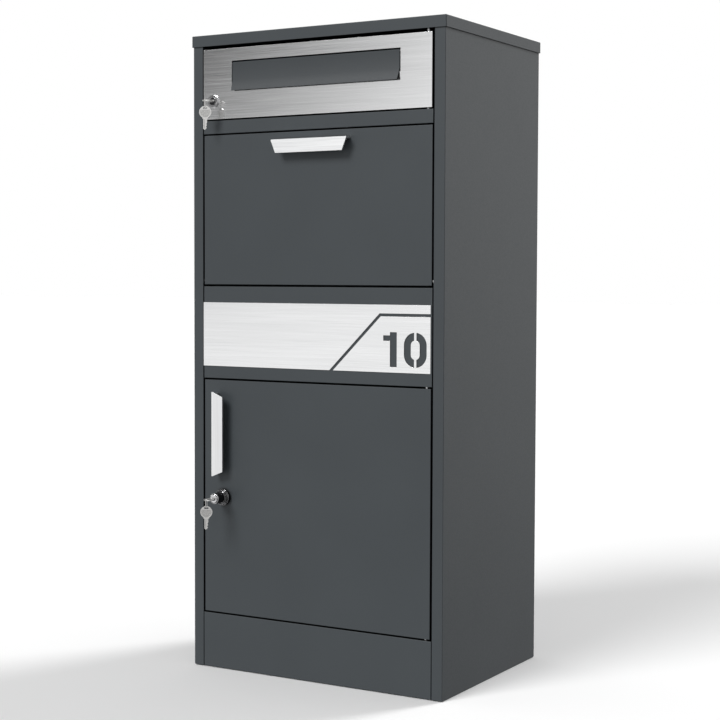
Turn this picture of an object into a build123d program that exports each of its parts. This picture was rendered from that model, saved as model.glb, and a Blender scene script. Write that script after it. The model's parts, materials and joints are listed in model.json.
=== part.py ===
"""A free-standing steel parcel box with a letterbox on top, in separate pieces.

Frame: millimetres, +Z up, the door side looks towards -Y, X runs left to right as seen
from the door side. The origin is on the floor, at the centre of the anchor hole pattern.
"""

from build123d import *
import os
from math import cos, radians, sin, sqrt

# ---------------------------------------------------------------- driving dimensions
width = 450.0
depth = 335.0
height = 1012.0
sheet = 1.2                 # folded steel sheet
face_sheet = 1.2            # stainless facings in front of the doors and panels
flange = 18.0               # front face of the shell beside the doors
lip = 13.0                  # the shell's return behind each flange
ground_gap = 1.5            # the shell and plinth end this far above the floor
bend = 1.0                  # outer radius of a folded edge

lid_height = 17.5
lid_overhang = 2.0
lid_corner = 1.8            # outer radius of the lid's upright corners

plinth_top = 89.0
removal_span = (91.4, 465.3)
middle_span = (467.9, 614.5)
parcel_span = (617.5, 853.7)
crossbar_span = (855.9, 876.8)
mail_span = (879.0, 989.0)
header_bottom = 995.5       # the rail hides behind the lid's skirt

panel_side_gap = 1.6        # fixed panels to the shell's returns
plinth_side_gap = 0.8
door_left_gap = 2.4
door_right_gap = 3.3
parcel_side_gap = 2.7
return_depth = 13.0         # folded edges of doors and fixed panels

# hinges
hinge_inset_x = 9.5         # pin centre from a door's right edge
hinge_inset_y = 6.5         # pin centre behind the front face
hinge_pin_r = 2.5
hinge_pin_head_r = 4.6
hinge_pin_head = 2.0
bush_wall = 1.5
bush_flange = 1.1           # how far a bush's flange stands out round it
running_gap = 0.05
drop_hinge_inset = 6.0      # parcel door pin above its bottom edge and behind its face
drop_pin_r = 3.0
drop_bush_wall = 0.9
drop_open_angle = 50.0

# letterbox
slot_left = -151.0
slot_right = 151.0
slot_top = 969.0
slot_bottom = 934.0
flap_hinge_y = 1.6
flap_knuckle_r = 2.6
flap_pin_r = 1.3
flap_lip_bottom = 922.3
flap_lip_lean = 20.0        # degrees that the flap's lower lip leans out

# parcel tray
tray_length = 288.0
tray_drop_angle = 40.0
cheek_radius = 222.0
cheek_x = 197.0

# locks
mail_lock_x = -185.5
mail_lock_z = 907.0
removal_lock_x = -167.1
removal_lock_z = 278.4
mail_plug_reach = 4.6       # plug faces stand this far in front of the cabinet
removal_plug_reach = 28.9
plug_r = 6.5
barrel_r = 8.5
lock_reach = 17.6           # cam's front face behind the cabinet's front
cam_thick = 2.0
cam_width = 13.0
cam_square = 6.4            # squared end of the plug that carries the cam
nut_thick = 4.5
nut_corner_r = 12.7

# keys
bow_r = 9.5
key_half_thick = 0.9
key_length = 37.5
key_shoulder = 1.6          # bow to plug face with the key pushed in
blade_width = 6.0
web = 2.0                   # metal between a bow's hole and its rim
spare_turn = 30.0           # the hanging key is turned this far about the upright
link_half_gap = 1.5         # inside half width of the wire link between two keys
link_wire_r = 0.55
link_slack = 0.5
spare_hang = 9.0            # the spare key's top below the working key
hole_width = 6.6
hole_height = 2.0

# handles
handle_long = 136.0
handle_short = 119.0
handle_lip = 20.7
handle_reach = 17.0
handle_sheet = 2.0
handle_foot = 9.5
handle_corner = 1.2
handle_screw_pitch = 80.0
handle_screw_r = 2.0
handle_screw_head_r = 3.8
handle_screw_head = 2.4

# ---------------------------------------------------------------- derived values
front = -depth / 2
back = depth / 2
opening = width / 2 - flange            # half of the clear width between the flanges
panel_half = opening - panel_side_gap
lid_bottom = height - lid_height
shell_top = height - sheet
wall = width / 2 - sheet                # inside face of a side wall

os.makedirs("parts", exist_ok=True)


def save(piece, name):
    """Label a finished piece and write it as one STEP file."""
    piece.part.label = name
    export_step(piece.part, f"parts/{name}.step")


def pan(x_span, z_span, fold_depth, face_y=front):
    """A folded tray: a front skin with four returns towards the back."""
    wide = x_span[1] - x_span[0]
    tall = z_span[1] - z_span[0]
    mid_x = sum(x_span) / 2
    mid_z = sum(z_span) / 2
    with BuildPart() as piece:
        with BuildSketch(Plane.XZ.offset(-face_y)):
            with Locations((mid_x, mid_z)):
                Rectangle(wide, tall)
        extrude(amount=-fold_depth)
        fillet(piece.faces().sort_by(Axis.Y)[0].edges(), bend)
        with BuildSketch(Plane.XZ.offset(-face_y - sheet)):
            with Locations((mid_x, mid_z)):
                Rectangle(wide - 2 * sheet, tall - 2 * sheet)
        extrude(amount=-fold_depth, mode=Mode.SUBTRACT)
    return piece


def drill(piece, plane, radius, length):
    """Take a round hole out of a finished piece."""
    with BuildPart() as drilled:
        add(piece.part)
        with BuildSketch(plane):
            Circle(radius)
        extrude(amount=length, mode=Mode.SUBTRACT)
    return drilled


def group(solids):
    """Several separate solids in one node."""
    with BuildPart() as piece:
        add(solids)
    return piece


def facing_plane(x, y, z):
    """A sketch plane parallel to the front, whose normal points out of the door side."""
    return Plane(origin=(x, y, z), x_dir=(1, 0, 0), z_dir=(0, -1, 0))


def up_plane(x, y, z):
    """A level sketch plane whose normal points up."""
    return Plane(origin=(x, y, z), x_dir=(1, 0, 0), z_dir=(0, 0, 1))


def side_plane(x, y, z, direction=1):
    """An upright sketch plane whose normal points along X."""
    return Plane(origin=(x, y, z), x_dir=(0, 1, 0), z_dir=(direction, 0, 0))


# ---------------------------------------------------------------- cabinet shell
drop_hinge_y = front + drop_hinge_inset
drop_hinge_z = parcel_span[0] + drop_hinge_inset
drop_bush_r = drop_pin_r + running_gap + drop_bush_wall

with BuildPart() as cabinet_shell:
    with BuildSketch(Plane.XY.offset(ground_gap)):
        Rectangle(width, depth)
        Rectangle(width - 2 * sheet, depth - 2 * sheet, mode=Mode.SUBTRACT)
        with Locations((0, front)):
            Rectangle(2 * opening, 4 * sheet, mode=Mode.SUBTRACT)
        for side in (-1, 1):
            with Locations((side * (opening + sheet / 2), front + lip / 2)):
                Rectangle(sheet, lip)
    extrude(amount=shell_top - ground_gap)
    upright = cabinet_shell.edges().filter_by(Axis.Z)
    corners = [
        e for e in upright
        if abs(abs(e.center().X) - width / 2) < 0.01 and abs(abs(e.center().Y) - depth / 2) < 0.01
    ]
    folds = [
        e for e in upright
        if abs(abs(e.center().X) - opening) < 0.01 and abs(e.center().Y - front) < 0.01
    ]
    fillet(corners + folds, bend)
    # holes in both returns for the parcel door's bushes
    for side in (-1, 1):
        with BuildSketch(side_plane(side * (opening - 1), drop_hinge_y, drop_hinge_z, side)):
            Circle(drop_bush_r)
        extrude(amount=4, mode=Mode.SUBTRACT)

# blind rivets through the returns hold the fixed panels: height, gap that each one bridges
rivet_r = 1.6
rivet_head_r = 3.2
rivet_y = front + 7.0
plinth_rivets = [(28, plinth_side_gap), (66, plinth_side_gap)]
middle_rivets = [(middle_span[0] + 25, panel_side_gap), (middle_span[1] - 25, panel_side_gap)]
crossbar_rivets = [(sum(crossbar_span) / 2, panel_side_gap)]
header_rivets = [((header_bottom + shell_top) / 2 + 1, panel_side_gap)]
rivet_places = plinth_rivets + middle_rivets + crossbar_rivets + header_rivets
for rivet_z, _ in rivet_places:
    for side in (-1, 1):
        cabinet_shell = drill(
            cabinet_shell, side_plane(side * (opening - 3), rivet_y, rivet_z, side), rivet_r, 6
        )
save(cabinet_shell, "cabinet_shell")

# ---------------------------------------------------------------- lid
lid_wide = width + 2 * lid_overhang
lid_deep = depth + 2 * lid_overhang
with BuildPart() as lid:
    with BuildSketch(Plane.XY.offset(lid_bottom)):
        Rectangle(lid_wide, lid_deep)
    extrude(amount=lid_height)
    fillet(lid.edges().filter_by(Axis.Z), lid_corner)
    fillet(lid.faces().sort_by(Axis.Z)[-1].edges(), bend)
    with BuildSketch(Plane.XY.offset(lid_bottom)):
        Rectangle(lid_wide - 2 * sheet, lid_deep - 2 * sheet)
    extrude(amount=lid_height - sheet, mode=Mode.SUBTRACT)
save(lid, "lid")

# ---------------------------------------------------------------- base plate
anchor_pitch_x = 340.0
anchor_pitch_y = 220.0
anchor_hole_r = 5.0
base_front = front + return_depth + 1.0
base_upstand = 22.0
with BuildPart() as base_plate:
    with BuildSketch(Plane.XY):
        with Locations((0, (base_front + back - sheet) / 2)):
            Rectangle(2 * wall, back - sheet - base_front)
    extrude(amount=base_upstand)
    with BuildSketch(Plane.XY.offset(sheet)):
        with Locations((0, (base_front + back - 3 * sheet) / 2 + sheet / 2)):
            Rectangle(2 * wall - 2 * sheet, back - 2 * sheet - base_front - sheet)
    extrude(amount=base_upstand, mode=Mode.SUBTRACT)
    with Locations(Plane.XY):
        with GridLocations(anchor_pitch_x, anchor_pitch_y, 2, 2):
            Hole(anchor_hole_r, depth=30)
save(base_plate, "base_plate")

# ---------------------------------------------------------------- fixed front panels
fixed_x = (-panel_half, panel_half)
hinge_x = opening - door_right_gap - hinge_inset_x
hinge_y = front + hinge_inset_y
bush_r = hinge_pin_r + running_gap + bush_wall


def panel_rivet_holes(piece, places):
    """Drill the side returns of a fixed panel for its blind rivets."""
    for z, _ in places:
        for side in (-1, 1):
            piece = drill(piece, side_plane(side * (opening - 5), rivet_y, z, side), rivet_r, 6)
    return piece


plinth_x = (-opening + plinth_side_gap, opening - plinth_side_gap)
plinth_panel = pan(plinth_x, (ground_gap, plinth_top), return_depth)
plinth_panel = panel_rivet_holes(plinth_panel, plinth_rivets)
plinth_panel = drill(plinth_panel, up_plane(hinge_x, hinge_y, plinth_top - 3), bush_r, 6)
save(plinth_panel, "plinth_panel")

middle_panel = pan(fixed_x, middle_span, return_depth)
middle_panel = panel_rivet_holes(middle_panel, middle_rivets)
middle_panel = drill(middle_panel, up_plane(hinge_x, hinge_y, middle_span[0] - 3), bush_r, 6)
save(middle_panel, "middle_panel")

crossbar = pan(fixed_x, crossbar_span, return_depth)
crossbar = panel_rivet_holes(crossbar, crossbar_rivets)
crossbar = drill(crossbar, up_plane(hinge_x, hinge_y, crossbar_span[1] - 3), bush_r, 6)
save(crossbar, "crossbar")

header_rail = pan(fixed_x, (header_bottom, shell_top), return_depth)
header_rail = panel_rivet_holes(header_rail, header_rivets)
header_rail = drill(header_rail, up_plane(hinge_x, hinge_y, header_bottom - 3), bush_r, 6)
save(header_rail, "header_rail")

rivets = []
for rivet_z, gap in rivet_places:
    inside = opening - gap - sheet
    for side in (-1, 1):
        with BuildPart() as rivet:
            with BuildSketch(side_plane(side * inside, rivet_y, rivet_z, side)):
                Circle(rivet_r)
            extrude(amount=2 * sheet + gap)
            with BuildSketch(side_plane(side * (opening + sheet), rivet_y, rivet_z, side)):
                Circle(rivet_head_r)
            extrude(amount=1.2)
            with BuildSketch(side_plane(side * inside, rivet_y, rivet_z, -side)):
                Circle(rivet_head_r)
            extrude(amount=1.6)
        rivets.append(rivet.part)
save(group(rivets), "panel_rivets")

# ---------------------------------------------------------------- letterbox floor
shelf_front = front + return_depth + 0.6
shelf_upstand = 15.0
with BuildPart() as mail_shelf:
    with BuildSketch(Plane.XY.offset(crossbar_span[0])):
        with Locations((0, (shelf_front + back - sheet) / 2)):
            Rectangle(2 * wall, back - sheet - shelf_front)
    extrude(amount=sheet)
    with BuildSketch(Plane.XY.offset(crossbar_span[0])):
        with Locations((0, shelf_front + sheet / 2)):
            Rectangle(2 * wall, sheet)
    extrude(amount=shelf_upstand)
save(mail_shelf, "mail_shelf")


# ---------------------------------------------------------------- hinge bushes and pins
def flanged_bush(x, y, z, direction, pin_r, length):
    """A nylon bush whose flange lies against the far side of the sheet that holds it."""
    normal = (0, 0, direction)
    with BuildPart() as bush:
        with BuildSketch(Plane(origin=(x, y, z), x_dir=(1, 0, 0), z_dir=normal)):
            Circle(pin_r + running_gap + bush_wall)
            Circle(pin_r + running_gap, mode=Mode.SUBTRACT)
        extrude(amount=length)
        far = z + direction * sheet
        with BuildSketch(Plane(origin=(x, y, far), x_dir=(1, 0, 0), z_dir=normal)):
            Circle(pin_r + running_gap + bush_wall + bush_flange)
            Circle(pin_r + running_gap, mode=Mode.SUBTRACT)
        extrude(amount=length - sheet)
    return bush.part


bush_length = 3.0
mail_bushes = [
    flanged_bush(hinge_x, hinge_y, header_bottom, 1, hinge_pin_r, bush_length),
    flanged_bush(hinge_x, hinge_y, crossbar_span[1], -1, hinge_pin_r, bush_length),
]
save(group(mail_bushes), "mail_door_bushes")
removal_bushes = [
    flanged_bush(hinge_x, hinge_y, middle_span[0], 1, hinge_pin_r, bush_length),
    flanged_bush(hinge_x, hinge_y, plinth_top, -1, hinge_pin_r, bush_length),
]
save(group(removal_bushes), "removal_door_bushes")


def hinge_pin(z_edge, z_bush):
    """A shouldered pin riveted in a door's return, its free end in the frame's bush."""
    direction = 1 if z_bush > z_edge else -1
    inside = z_edge - direction * sheet
    upward = Plane(origin=(hinge_x, hinge_y, inside), x_dir=(1, 0, 0), z_dir=(0, 0, direction))
    downward = Plane(origin=(hinge_x, hinge_y, inside), x_dir=(1, 0, 0), z_dir=(0, 0, -direction))
    with BuildPart() as pin:
        with BuildSketch(upward):
            Circle(hinge_pin_r)
        extrude(amount=abs(z_bush - inside) + bush_length + 0.2)
        with BuildSketch(downward):
            Circle(hinge_pin_head_r)
        extrude(amount=hinge_pin_head)
    return pin.part


def door_pins(z_span, z_frame):
    """The upper and the lower pin of a side-hung door, with the frame's edges beyond it."""
    return group([hinge_pin(z_span[1], z_frame[1]), hinge_pin(z_span[0], z_frame[0])])


def drill_pin_holes(piece, z_span):
    """Holes for both pins in a door's top and bottom returns."""
    piece = drill(piece, up_plane(hinge_x, hinge_y, z_span[0] - 2), hinge_pin_r, 5)
    return drill(piece, up_plane(hinge_x, hinge_y, z_span[1] - 3), hinge_pin_r, 5)


# ---------------------------------------------------------------- letterbox door
mail_x = (-opening + door_left_gap, opening - door_right_gap)
mail_door = pan(mail_x, mail_span, return_depth)
mail_door = drill_pin_holes(mail_door, mail_span)
flap_axis_z = slot_top - 4.2
flap_axis_y = front + flap_hinge_y
pan_slot_margin = 7.0
with BuildPart() as mail_door_cut:
    add(mail_door.part)
    with BuildSketch(facing_plane(0, front - 1, 0)):
        with Locations((0, (slot_top + slot_bottom) / 2 + 1)):
            Rectangle(slot_right - slot_left + 2 * pan_slot_margin, slot_top - slot_bottom + 8)
    extrude(amount=-4, mode=Mode.SUBTRACT)
    with BuildSketch(facing_plane(mail_lock_x, front - 1, mail_lock_z)):
        Circle(barrel_r)
    extrude(amount=-4, mode=Mode.SUBTRACT)
save(mail_door_cut, "mail_door_pan")

with BuildPart() as mail_facing:
    with BuildSketch(facing_plane(0, front, 0)):
        with Locations((sum(mail_x) / 2, sum(mail_span) / 2)):
            Rectangle(mail_x[1] - mail_x[0], mail_span[1] - mail_span[0])
        with Locations((0, (slot_top + slot_bottom) / 2)):
            Rectangle(slot_right - slot_left, slot_top - slot_bottom, mode=Mode.SUBTRACT)
        with Locations((mail_lock_x, mail_lock_z)):
            Circle(barrel_r, mode=Mode.SUBTRACT)
    extrude(amount=face_sheet)
    chamfer(mail_facing.faces().sort_by(Axis.Y)[0].outer_wire().edges(), 0.25)
save(mail_facing, "mail_door_facing")

save(door_pins(mail_span, (crossbar_span[1], header_bottom)), "mail_door_pins")

# the flap's pin runs behind the facing into an ear at each end of the slot
ear_inside = slot_right + 1.2
ear_thick = 1.5
ear_deep = 7.0
ear_tall = 8.0
flap_pin_half = ear_inside + ear_thick
with BuildPart() as flap_pin:
    with BuildSketch(side_plane(-flap_pin_half, flap_axis_y, flap_axis_z)):
        Circle(flap_pin_r)
    extrude(amount=2 * flap_pin_half)
save(flap_pin, "flap_pin")

ears = []
for side in (-1, 1):
    with BuildPart() as ear:
        with BuildSketch(side_plane(side * ear_inside, front, flap_axis_z, side)):
            with Locations((ear_deep / 2, 0)):
                Rectangle(ear_deep, ear_tall)
            with Locations((flap_hinge_y, 0)):
                Circle(flap_pin_r, mode=Mode.SUBTRACT)
        extrude(amount=ear_thick)
    ears.append(ear.part)
save(group(ears), "flap_ears")

flap_half = slot_right - 1.5
flap_sheet = 1.2
flap_face_y = front - face_sheet
flap_bend_z = slot_bottom + 4.5
lip_half = flap_half - 1.5
with BuildPart() as mail_flap:
    with BuildSketch(side_plane(-flap_half, 0, 0)):
        with Locations((flap_axis_y, flap_axis_z)):
            Circle(flap_knuckle_r)
        with BuildLine():
            Polyline(
                (flap_face_y, flap_axis_z + 0.8),
                (flap_face_y, flap_bend_z),
                (flap_face_y + flap_sheet, flap_bend_z),
                (flap_face_y + flap_sheet, flap_axis_z + 0.8),
                close=True,
            )
        make_face()
        with Locations((flap_axis_y, flap_axis_z)):
            Circle(flap_pin_r + running_gap, mode=Mode.SUBTRACT)
    extrude(amount=2 * flap_half)
    # the lower edge is folded out over the sill of the slot, and its ends taper
    lean = radians(flap_lip_lean)
    lip_long = (flap_bend_z - flap_lip_bottom) / cos(lean)
    lip_plane = Plane(
        origin=(0, flap_face_y, flap_bend_z),
        x_dir=(1, 0, 0),
        z_dir=(0, -cos(lean), sin(lean)),
    )
    with BuildSketch(lip_plane):
        with BuildLine():
            Polyline(
                (-flap_half, 0.35),
                (flap_half, 0.35),
                (flap_half, 0),
                (lip_half, -lip_long),
                (-lip_half, -lip_long),
                (-flap_half, 0),
                close=True,
            )
        make_face()
    extrude(amount=-flap_sheet)
save(mail_flap, "mail_flap")

# ---------------------------------------------------------------- parcel drop door
parcel_x = (-opening + parcel_side_gap, opening - parcel_side_gap)
parcel_door = pan(parcel_x, parcel_span, 12.0)
for side in (-1, 1):
    parcel_door = drill(
        parcel_door,
        side_plane(side * (parcel_x[1] - 3), drop_hinge_y, drop_hinge_z, side),
        drop_pin_r,
        6,
    )

drop_pins = []
drop_bushes = []
for side in (-1, 1):
    skin = parcel_x[1]
    with BuildPart() as drop_pin:
        with BuildSketch(side_plane(side * (skin - sheet), drop_hinge_y, drop_hinge_z, side)):
            Circle(drop_pin_r)
        extrude(amount=sheet + parcel_side_gap + sheet + 3.0)
        with BuildSketch(side_plane(side * (skin - sheet), drop_hinge_y, drop_hinge_z, -side)):
            Circle(drop_pin_r + 1.4)
        extrude(amount=1.6)
    drop_pins.append(drop_pin.part)
    with BuildPart() as drop_bush:
        with BuildSketch(side_plane(side * opening, drop_hinge_y, drop_hinge_z, side)):
            Circle(drop_bush_r)
            Circle(drop_pin_r + running_gap, mode=Mode.SUBTRACT)
        extrude(amount=sheet + 1.4)
        with BuildSketch(side_plane(side * (opening + sheet), drop_hinge_y, drop_hinge_z, side)):
            Circle(drop_bush_r + 0.7)
            Circle(drop_pin_r + running_gap, mode=Mode.SUBTRACT)
        extrude(amount=1.4)
    drop_bushes.append(drop_bush.part)
save(group(drop_pins), "parcel_door_pins")
save(group(drop_bushes), "parcel_door_bushes")

# side cheeks: sectors about the hinge, from the door down to the tray
cheek_start = -tray_drop_angle + 1.4
cheek_end = 88.0
cheek_inner = 16.0


def polar(radius, angle):
    """A point in a side view, measured from the parcel door's hinge."""
    return (radius * cos(radians(angle)), radius * sin(radians(angle)))


stop_angle = 90.0 - drop_open_angle - 3.0
stop_inner = 188.0
stop_outer = 212.0
cheeks = []
for side in (-1, 1):
    with BuildPart() as cheek:
        with BuildSketch(side_plane(side * cheek_x, drop_hinge_y, drop_hinge_z, 1)):
            with BuildLine():
                start = polar(cheek_radius, cheek_start)
                end = polar(cheek_radius, cheek_end)
                middle = polar(cheek_radius, (cheek_start + cheek_end) / 2)
                ThreePointArc(start, middle, end)
                Line(end, polar(cheek_inner, cheek_end))
                Line(polar(cheek_inner, cheek_end), polar(cheek_inner, cheek_start))
                Line(polar(cheek_inner, cheek_start), start)
            make_face()
        extrude(amount=side * sheet)
        # a tab bent outwards meets the shell's return when the door is fully open
        tab_plane = Plane(
            origin=(side * (cheek_x + sheet), drop_hinge_y, drop_hinge_z),
            x_dir=(0, cos(radians(stop_angle)), sin(radians(stop_angle))),
            z_dir=(side, 0, 0),
        )
        with BuildSketch(tab_plane):
            with Locations(((stop_inner + stop_outer) / 2, 0)):
                Rectangle(stop_outer - stop_inner, 1.6)
        extrude(amount=13.0)
    cheeks.append(cheek)
save(cheeks[0], "tray_cheek_left")
save(cheeks[1], "tray_cheek_right")

# the tray: a plate that slopes down behind the closed door and lifts level when it opens
tray_plane = Plane(
    origin=(-cheek_x, drop_hinge_y, drop_hinge_z),
    x_dir=(0, cos(radians(tray_drop_angle)), -sin(radians(tray_drop_angle))),
    z_dir=(1, 0, 0),
)
tray_start = 13.0
with BuildPart() as parcel_tray:
    with BuildSketch(tray_plane):
        with BuildLine():
            Polyline(
                (tray_start, 0),
                (tray_length, 0),
                (tray_length, 12),
                (tray_length - sheet, 12),
                (tray_length - sheet, sheet),
                (tray_start, sheet),
                close=True,
            )
        make_face()
    extrude(amount=2 * cheek_x)
save(parcel_tray, "parcel_tray")


# ---------------------------------------------------------------- pull handles
def channel_handle(plane):
    """A pull folded from stainless strip: rear foot, web and a tapering front lip.

    The sketch plane lies on the door's face, its normal points out of the door, and its
    +Y runs from the open side of the channel to the web.
    """
    half = handle_lip / 2
    foot_half = handle_short / 2 - 4
    web_inside = half - handle_sheet
    with BuildPart() as handle:
        with BuildSketch(plane.offset(handle_reach - handle_sheet)):
            with BuildLine():
                Polyline(
                    (-handle_long / 2, half),
                    (handle_long / 2, half),
                    (handle_short / 2, -half),
                    (-handle_short / 2, -half),
                    close=True,
                )
            make_face()
        extrude(amount=handle_sheet)
        fillet(
            handle.edges().filter_by(lambda e: abs(e.length - handle_sheet) < 0.001), handle_corner
        )
        with BuildSketch(plane):
            with Locations((0, half - handle_sheet / 2)):
                Rectangle(handle_long - 6, handle_sheet)
        extrude(amount=handle_reach - handle_sheet)
        with BuildSketch(plane):
            with Locations((0, web_inside - handle_foot / 2)):
                Rectangle(2 * foot_half, handle_foot)
        extrude(amount=handle_sheet)
    return handle


handle_screw_at = handle_lip / 2 - handle_sheet - 5.5


def handle_screws(plane):
    """Two pan head screws from inside the door, with their tips in the handle's foot."""
    screws = []
    for along in (-handle_screw_pitch / 2, handle_screw_pitch / 2):
        with BuildPart() as screw:
            with BuildSketch(plane.offset(-sheet)):
                with Locations((along, handle_screw_at)):
                    Circle(handle_screw_r)
            extrude(amount=sheet + handle_sheet + 1.4)
            with BuildSketch(plane.offset(-sheet)):
                with Locations((along, handle_screw_at)):
                    Circle(handle_screw_head_r)
            extrude(amount=-handle_screw_head)
        screws.append(screw.part)
    return group(screws)


def drill_screw_holes(piece, plane):
    """Clearance for the two handle screws."""
    with BuildPart() as drilled:
        add(piece.part)
        with BuildSketch(plane.offset(-4)):
            with Locations(
                (-handle_screw_pitch / 2, handle_screw_at), (handle_screw_pitch / 2, handle_screw_at)
            ):
                Circle(handle_screw_r)
        extrude(amount=9, mode=Mode.SUBTRACT)
    return drilled


parcel_handle_z = 830.9
parcel_handle_plane = facing_plane(0, front, parcel_handle_z)
parcel_handle = drill_screw_holes(channel_handle(parcel_handle_plane), parcel_handle_plane)
save(parcel_handle, "parcel_handle")
save(handle_screws(parcel_handle_plane), "parcel_handle_screws")
save(drill_screw_holes(parcel_door, parcel_handle_plane), "parcel_door_pan")

# ---------------------------------------------------------------- removal door
removal_x = (-opening + door_left_gap + 0.6, opening - door_right_gap)
removal_handle_x = -169.2
removal_handle_z = 379.7
removal_handle_plane = Plane(
    origin=(removal_handle_x, front, removal_handle_z), x_dir=(0, 0, 1), z_dir=(0, -1, 0)
)
removal_door = pan(removal_x, removal_span, return_depth)
removal_door = drill_pin_holes(removal_door, removal_span)
removal_door = drill_screw_holes(removal_door, removal_handle_plane)
removal_door = drill(
    removal_door, facing_plane(removal_lock_x, front + 3, removal_lock_z), barrel_r, 6
)
save(removal_door, "removal_door_pan")
save(door_pins(removal_span, (plinth_top, middle_span[0])), "removal_door_pins")
removal_handle = drill_screw_holes(channel_handle(removal_handle_plane), removal_handle_plane)
save(removal_handle, "removal_handle")
save(handle_screws(removal_handle_plane), "removal_handle_screws")

# ---------------------------------------------------------------- address plates
plate_left = -panel_half
plate_right = panel_half - 2.1
plate_bottom = 487.6
plate_top = 589.0
# a slanted seam with a level run to the right parts the plate in two
seam_foot_x = 32.6
seam_top_x = 118.2
seam_z = 573.6
seam_gap = 4.4
seam_rise = (seam_z - plate_bottom) / (seam_top_x - seam_foot_x)
seam_shift = seam_gap / 2 * sqrt(1 + 1 / seam_rise**2)


def seam_x(z, side):
    """Where the slanted seam's left (-1) or right (+1) edge is at a height."""
    return seam_foot_x + side * seam_shift + (z - plate_bottom) / seam_rise


upper_edge = seam_z + seam_gap / 2
lower_edge = seam_z - seam_gap / 2
with BuildPart() as street_plate:
    with BuildSketch(facing_plane(0, front, 0)):
        with BuildLine():
            Polyline(
                (plate_left, plate_bottom),
                (seam_x(plate_bottom, -1), plate_bottom),
                (seam_x(upper_edge, -1), upper_edge),
                (plate_right, upper_edge),
                (plate_right, plate_top),
                (plate_left, plate_top),
                close=True,
            )
        make_face()
    extrude(amount=face_sheet)
save(street_plate, "street_plate")

number_height = 52.0
number_stroke = 11.5
number_mid_z = 496.0 + number_height / 2
one_x = 141.0
zero_x = 178.0
zero_half = 19.0
bridge = 4.0
zero_inner = zero_half - number_stroke
zero_straight = number_height / 2 - zero_half
zero_top = number_mid_z + zero_straight
zero_foot = number_mid_z - zero_straight
edge_out = sqrt(zero_half**2 - (bridge / 2) ** 2)
edge_in = sqrt(zero_inner**2 - (bridge / 2) ** 2)
turn = sqrt(0.5)            # share of a radius at the middle of a quarter turn
with BuildPart() as number_plate:
    with BuildSketch(facing_plane(0, front, 0)):
        with BuildLine():
            Polyline(
                (seam_x(plate_bottom, 1), plate_bottom),
                (plate_right, plate_bottom),
                (plate_right, lower_edge),
                (seam_x(lower_edge, 1), lower_edge),
                close=True,
            )
        make_face()
        # a plain stencil number: an upright bar with a flag, and a ring with two bridges
        with Locations((one_x, number_mid_z)):
            Rectangle(number_stroke, number_height, mode=Mode.SUBTRACT)
        with Locations((one_x - number_stroke, number_mid_z + number_height / 2 - 9)):
            Rectangle(number_stroke, 8, mode=Mode.SUBTRACT)
        for half in (-1, 1):
            near = zero_x + half * bridge / 2
            outer_x = zero_x + half * zero_half
            outer_turn = zero_x + half * zero_half * turn
            inner_x = zero_x + half * zero_inner
            inner_turn = zero_x + half * zero_inner * turn
            with BuildLine():
                Line((near, zero_top + edge_in), (near, zero_top + edge_out))
                ThreePointArc(
                    (near, zero_top + edge_out),
                    (outer_turn, zero_top + zero_half * turn),
                    (outer_x, zero_top),
                )
                Line((outer_x, zero_top), (outer_x, zero_foot))
                ThreePointArc(
                    (outer_x, zero_foot),
                    (outer_turn, zero_foot - zero_half * turn),
                    (near, zero_foot - edge_out),
                )
                Line((near, zero_foot - edge_out), (near, zero_foot - edge_in))
                ThreePointArc(
                    (near, zero_foot - edge_in),
                    (inner_turn, zero_foot - zero_inner * turn),
                    (inner_x, zero_foot),
                )
                Line((inner_x, zero_foot), (inner_x, zero_top))
                ThreePointArc(
                    (inner_x, zero_top),
                    (inner_turn, zero_top + zero_inner * turn),
                    (near, zero_top + edge_in),
                )
            make_face(mode=Mode.SUBTRACT)
    extrude(amount=face_sheet)
save(number_plate, "number_plate")


# ---------------------------------------------------------------- locks
def lock_housing(x, z, front_y, stages, name):
    """A lock's fixed body: round stages in front of the door and a threaded barrel."""
    with BuildPart() as housing:
        with BuildSketch(facing_plane(x, front + lock_reach - 0.6, z)):
            Circle(barrel_r)
        extrude(amount=lock_reach - 0.6 + (front - front_y))
        for start_y, radius, length in stages:
            with BuildSketch(facing_plane(x, start_y, z)):
                Circle(radius)
            extrude(amount=length)
        chamfer(housing.faces().sort_by(Axis.Y)[0].outer_wire().edges(), 0.8)
        with BuildSketch(facing_plane(x, front_y - 1, z)):
            Circle(plug_r + running_gap)
        extrude(amount=-60, mode=Mode.SUBTRACT)
    save(housing, name)


def lock_nut(x, z, name):
    """A hexagon nut that clamps the barrel from inside the door."""
    with BuildPart() as nut:
        with BuildSketch(facing_plane(x, front + sheet, z)):
            RegularPolygon(nut_corner_r, 6, major_radius=True)
            Circle(barrel_r, mode=Mode.SUBTRACT)
        extrude(amount=-nut_thick)
    save(nut, name)


def lock_plug(x, z, face_y, name):
    """The turning core, with a keyway from the front and a squared end for the cam."""
    tail_y = front + lock_reach
    with BuildPart() as plug:
        with BuildSketch(facing_plane(x, tail_y, z)):
            Circle(plug_r)
        extrude(amount=tail_y - face_y)
        chamfer(plug.faces().sort_by(Axis.Y)[0].edges(), 0.5)
        with BuildSketch(facing_plane(x, tail_y, z)):
            Rectangle(cam_square, cam_square)
        extrude(amount=-cam_thick)
        with BuildSketch(facing_plane(x, face_y - 1, z)):
            Rectangle(blade_width + 0.6, 2 * key_half_thick + 0.5)
        extrude(amount=-(key_length - 2 * bow_r + 2), mode=Mode.SUBTRACT)
    save(plug, name)


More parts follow.
